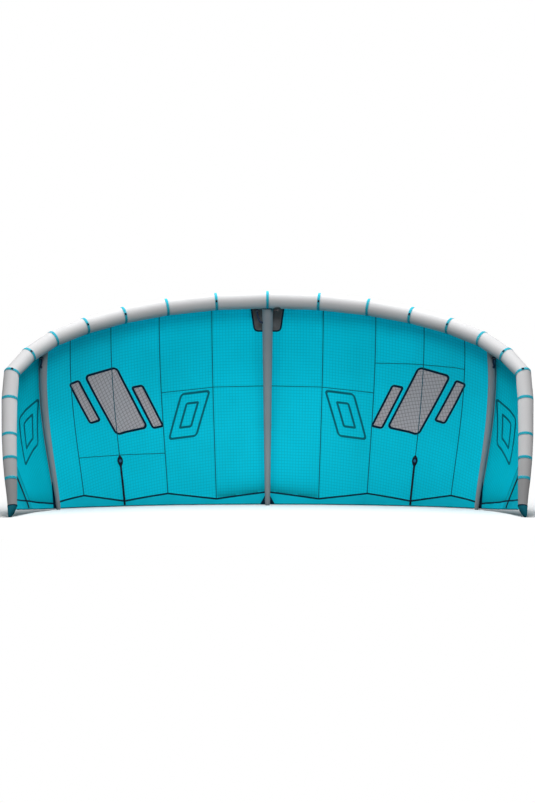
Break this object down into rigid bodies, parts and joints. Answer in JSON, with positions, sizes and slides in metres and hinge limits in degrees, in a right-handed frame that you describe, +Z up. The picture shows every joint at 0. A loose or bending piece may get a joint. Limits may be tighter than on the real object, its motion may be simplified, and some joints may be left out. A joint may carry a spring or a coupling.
{
  "type": "inflatable kitesurfing kite",
  "caption": "Inflatable kite for kitesurfing: a curved air-filled leading edge tube with struts behind it holds a cambered sailcloth canopy with battens, an inflation valve and air hoses.",
  "frame": {"origin": "middle of the kite's box, on the floor it stands on", "axes": "+X to the right as seen from the strut side, +Y from the strut side to the canopy's outer side, +Z up from the trailing edge to the leading edge"},
  "size_m": [4.6428, 1.6601, 2.0221],
  "materials": {
    "white_dacron": "white woven polyester, matt",
    "grey_dacron": "mid grey woven polyester, matt",
    "teal_ripstop": "turquoise ripstop sailcloth, satin",
    "teal_tape": "darker turquoise doubled sailcloth",
    "charcoal_cloth": "charcoal woven polyester",
    "clear_film": "translucent soft film",
    "dark_blue_cloth": "dark blue woven polyester",
    "navy_tape": "navy woven tape",
    "fibreglass_rod": "pale glass-fibre strip",
    "black_rubber": "black flexible hose",
    "black_plastic": "black moulded plastic",
    "grey_plastic": "grey moulded plastic",
    "dark_grey_plastic": "dark grey moulded plastic",
    "pale_grey_plastic": "pale grey moulded plastic"
  },
  "bodies": {
    "kite": {"batten_mid_left": "fibreglass_rod", "batten_mid_right": "fibreglass_rod", "batten_pocket_mid_left": "navy_tape", "batten_pocket_mid_right": "navy_tape", "batten_pocket_tip_left": "navy_tape", "batten_pocket_tip_right": "navy_tape", "batten_tip_left": "fibreglass_rod", "batten_tip_right": "fibreglass_rod", "canopy_centre_left": "teal_ripstop", "canopy_centre_right": "teal_ripstop", "canopy_inner_left": "teal_ripstop", "canopy_inner_right": "teal_ripstop", "canopy_middle_left": "teal_ripstop", "canopy_middle_right": "teal_ripstop", "canopy_outer_left": "teal_ripstop", "canopy_outer_right": "teal_ripstop", "canopy_strut_side_left": "teal_ripstop", "canopy_strut_side_right": "teal_ripstop", "canopy_tip_left": "teal_ripstop", "canopy_tip_right": "teal_ripstop", "canopy_tip_side_left": "teal_ripstop", "canopy_tip_side_right": "teal_ripstop", "clip_base_centre": "black_plastic", "clip_base_left": "black_plastic", "clip_base_right": "black_plastic", "leading_edge_bladder": "clear_film", "leading_edge_sleeve_centre": "white_dacron", "leading_edge_sleeve_mid_left": "white_dacron", "leading_edge_sleeve_mid_right": "white_dacron", "leading_edge_sleeve_outer_left": "white_dacron", "leading_edge_sleeve_outer_right": "white_dacron", "leading_edge_sleeve_tip_left": "white_dacron", "leading_edge_sleeve_tip_right": "white_dacron", "pump_hose_centre": "black_rubber", "pump_hose_left": "black_rubber", "pump_hose_right": "black_rubber", "strut_bladder_centre": "clear_film", "strut_bladder_left": "clear_film", "strut_bladder_right": "clear_film", "strut_end_cap_centre": "dark_blue_cloth", "strut_end_cap_left": "dark_blue_cloth", "strut_end_cap_right": "dark_blue_cloth", "strut_root_patch": "charcoal_cloth", "strut_sleeve_centre": "grey_dacron", "strut_sleeve_left": "grey_dacron", "strut_sleeve_right": "grey_dacron", "tip_cap_left": "dark_blue_cloth", "tip_cap_right": "dark_blue_cloth", "trailing_edge_band_inner_left": "teal_tape", "trailing_edge_band_inner_right": "teal_tape", "trailing_edge_band_outer_left": "teal_tape", "trailing_edge_band_outer_right": "teal_tape", "valve_base": "dark_grey_plastic"},
    "valve_lid": {"valve_cap": "pale_grey_plastic"},
    "valve_stopper": {"valve_insert": "pale_grey_plastic"},
    "centre_clip_lever": {"clip_lever_centre": "grey_plastic"},
    "left_clip_lever": {"clip_lever_left": "grey_plastic"},
    "right_clip_lever": {"clip_lever_right": "grey_plastic"}
  },
  "joints": [
    {"name": "valve_lid_hinge", "type": "hinge", "parent": "kite", "child": "valve_lid", "pos_m": [0.0673, 0.65571, 1.83763], "axis": [0, 1, 0], "range_deg": [0, 120]},
    {"name": "valve_stopper_turn", "type": "hinge", "parent": "kite", "child": "valve_stopper", "pos_m": [0.0948, 0.65571, 1.85], "axis": [0, 0, -1], "range_deg": [0, 90]},
    {"name": "centre_clip_hinge", "type": "hinge", "parent": "kite", "child": "centre_clip_lever", "pos_m": [-0.11468, 0.70691, 1.83876], "axis": [0.01, 0.4671, -0.8842], "range_deg": [0, 75]},
    {"name": "left_clip_hinge", "type": "hinge", "parent": "kite", "child": "left_clip_lever", "pos_m": [-2.0592, 0.02049, 1.3664], "axis": [0.1417, 0.5089, -0.8491], "range_deg": [0, 75]},
    {"name": "right_clip_hinge", "type": "hinge", "parent": "kite", "child": "right_clip_lever", "pos_m": [2.0592, 0.02049, 1.3664], "axis": [0.1417, -0.5089, 0.8491], "range_deg": [0, 75]}
  ]
}
